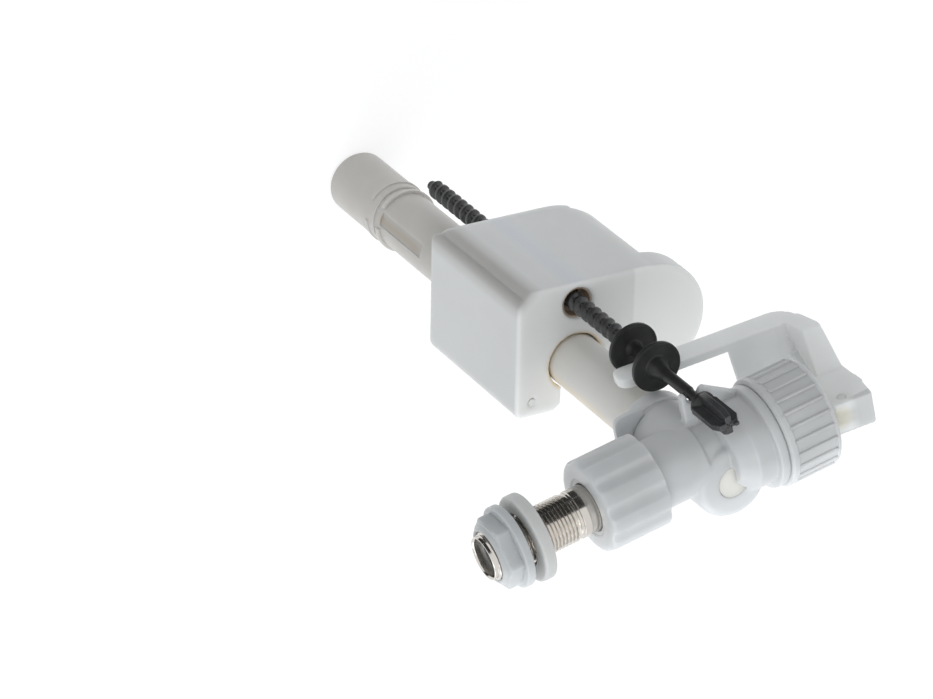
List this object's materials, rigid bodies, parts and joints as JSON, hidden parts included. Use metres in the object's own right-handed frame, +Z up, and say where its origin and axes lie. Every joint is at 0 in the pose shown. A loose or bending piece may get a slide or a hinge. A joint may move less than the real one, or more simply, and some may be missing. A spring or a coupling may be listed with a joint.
{
  "type": "side entry fill valve",
  "caption": "Side entry fill valve for a cistern: threaded metal inlet shank, diaphragm head with lever, down tube, and a float adjusted on a coarse black spindle.",
  "frame": {"origin": "on the inlet shank's axis, where the cistern's wall grips the shank", "axes": "+X along the inlet into the cistern, +Y towards the float's spindle, +Z up in use; the shank's free end points to -X"},
  "size_m": [0.14, 0.0569, 0.2578],
  "materials": {
    "nickel": "bright nickel plate",
    "grey_plastic": "moulded",
    "white_plastic": "satin moulded",
    "white_rubber": "matt",
    "clear_white": "translucent moulded",
    "cream_plastic": "translucent moulded",
    "lever_plastic": "translucent moulded",
    "tube_plastic": "translucent moulded",
    "float_plastic": "satin moulded",
    "brown_plastic": "moulded",
    "black_plastic": "satin moulded",
    "black_rubber": "matt"
  },
  "bodies": {
    "valve": {"shank": "nickel", "strainer": "grey_plastic", "coupling_nut": "clear_white", "coupling_gasket": "black_rubber", "flow_restrictor": "grey_plastic", "valve_body": "clear_white", "vent_cap": "cream_plastic", "pilot_cover": "cream_plastic", "cover_seal": "black_rubber", "head_ring": "clear_white", "lever_pin": "white_plastic", "upper_tube": "tube_plastic", "tube_seal": "black_rubber", "tube_clip": "clear_white", "lower_tube": "tube_plastic"},
    "washer": {"sealing_washer": "white_rubber"},
    "nut": {"wall_nut": "white_plastic"},
    "piston": {"servo_piston": "white_plastic", "seat_washer": "black_rubber", "lip_seal": "black_rubber"},
    "lever": {"lever": "lever_plastic", "pilot_pad": "white_rubber"},
    "spindle": {"spindle": "black_plastic"},
    "float": {"float_shell": "float_plastic", "float_insert": "brown_plastic", "float_plug": "float_plastic"}
  },
  "joints": [
    {"name": "washer_slide", "type": "slide", "parent": "valve", "child": "washer", "axis": [1, 0, 0], "range_m": [0, 0.018]},
    {"name": "nut_turn", "type": "hinge", "parent": "washer", "child": "nut", "pos_m": [-0.0275, 0, 0], "axis": [1, 0, 0], "range_deg": [0, 4846]},
    {"name": "float_lift", "type": "slide", "parent": "valve", "child": "spindle", "axis": [0, 0, 1], "range_m": [0, 0.0063]},
    {"name": "lever_swing", "type": "hinge", "parent": "valve", "child": "lever", "pos_m": [0.0954, 0, 0.0135], "axis": [0, 1, 0], "range_deg": [0, 8]},
    {"name": "piston_close", "type": "slide", "parent": "valve", "child": "piston", "axis": [-1, 0, 0], "range_m": [0, 0.0012]},
    {"name": "float_adjust", "type": "slide", "parent": "spindle", "child": "float", "axis": [0, 0, 1], "range_m": [-0.02, 0.025]}
  ],
  "couplings": [
    {"joint": "washer_slide", "follows": "nut_turn", "m_per_rad": 0.00021279},
    {"joint": "lever_swing", "follows": "float_lift", "rad_per_m": 22.08},
    {"joint": "piston_close", "follows": "float_lift", "ratio": 0.185}
  ]
}
